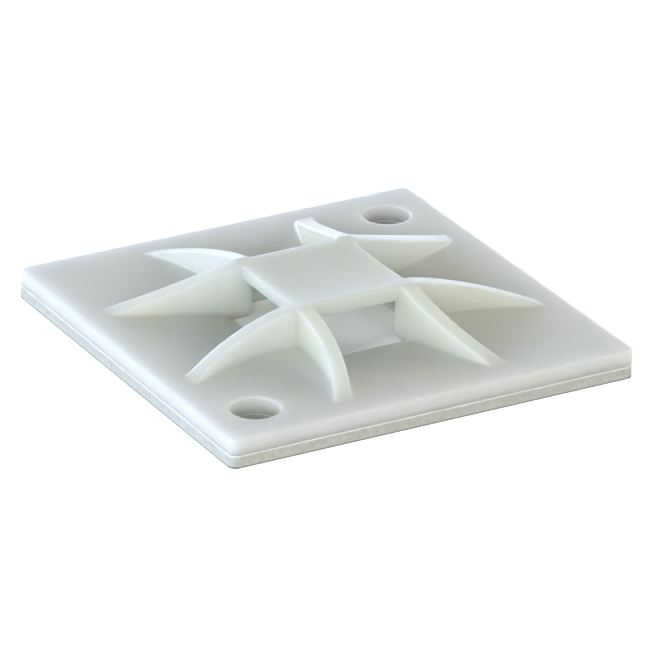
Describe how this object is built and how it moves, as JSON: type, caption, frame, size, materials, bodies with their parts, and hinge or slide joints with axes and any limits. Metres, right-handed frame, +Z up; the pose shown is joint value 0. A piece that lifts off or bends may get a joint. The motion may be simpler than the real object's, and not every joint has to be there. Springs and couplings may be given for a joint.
{
  "type": "cable tie mount",
  "caption": "Square adhesive-backed cable tie mount with crossing tie channels under a raised bridge, flared ribs, screw holes on one diagonal and a foam pad with release liner.",
  "frame": {"origin": "centre of the release liner's underside, on which the mount stands", "axes": "+Z up, away from the surface; +X along the shallow cradle in the bridge's top and along one of the two tie channels; +Y along the other"},
  "size_m": [0.028, 0.028, 0.0044],
  "materials": {
    "nylon": "satin natural nylon",
    "foam": "fine closed-cell foam tape",
    "liner": "thin satin film"
  },
  "bodies": {
    "root": {"mount_body": "nylon", "foam_pad": "foam", "release_liner": "liner"}
  },
  "joints": []
}
